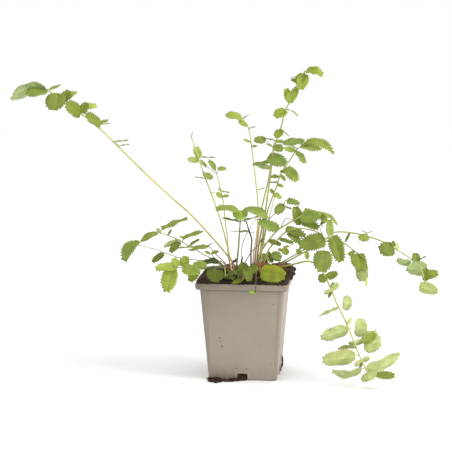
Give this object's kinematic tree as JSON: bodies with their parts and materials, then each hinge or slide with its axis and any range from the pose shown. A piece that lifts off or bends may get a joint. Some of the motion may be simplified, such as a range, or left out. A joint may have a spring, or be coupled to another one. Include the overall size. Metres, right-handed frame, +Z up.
{
  "type": "potted plant",
  "caption": "Square tapered nursery pot filled with soil, with a young burnet plant: thin stems with pairs of round toothed leaflets that spread, arch and trail from one crown.",
  "frame": {"origin": "centre of the pot's underside, on the surface that the pot stands on", "axes": "+Z up; -Y is the front, the side with the washed-out soil at its foot; +X is the right seen from the front, the side of the trailing frond"},
  "size_m": [0.4232, 0.1454, 0.3069],
  "materials": {
    "pot": "moulded, faint sheen",
    "soil": "matt, crumbly",
    "leaf": "soft satin, veined",
    "leaf_light": "soft satin, veined",
    "leaf_dark": "soft satin, veined",
    "leaf_pale": "matt, veined",
    "leaf_yellow": "soft satin, veined"
  },
  "bodies": {
    "root": {"pot": "pot", "soil": "soil", "soil_spill": "soil", "frond_long_left": "leaf", "frond_tall": "leaf_light", "frond_upper_left": "leaf_pale", "frond_left_of_centre": "leaf", "frond_umbrella": "leaf", "frond_purple_stem": "leaf_dark", "frond_thin_centre": "leaf_pale", "frond_top_centre": "leaf_light", "frond_beside_tall": "leaf_dark", "frond_right_top": "leaf", "frond_pale_stem": "leaf_pale", "frond_young_right": "leaf_dark", "frond_right_upper": "leaf", "frond_right_middle": "leaf_dark", "frond_long_right": "leaf", "frond_crumpled": "leaf", "frond_hanging_right": "leaf_pale", "frond_left_upper": "leaf", "frond_left_lower": "leaf", "frond_grey_stem": "leaf_dark", "frond_small_left": "leaf", "frond_dark_left": "leaf_dark", "frond_bright_left": "leaf_light", "leaf_round_front": "leaf", "leaves_centre_front": "leaf_dark", "leaf_yellow_front": "leaf_yellow", "leaf_yellow_right": "leaf_yellow", "stalk_over_rim": "leaf_light", "frond_low_right": "leaf_dark", "frond_yellow_right": "leaf_yellow"}
  },
  "joints": []
}
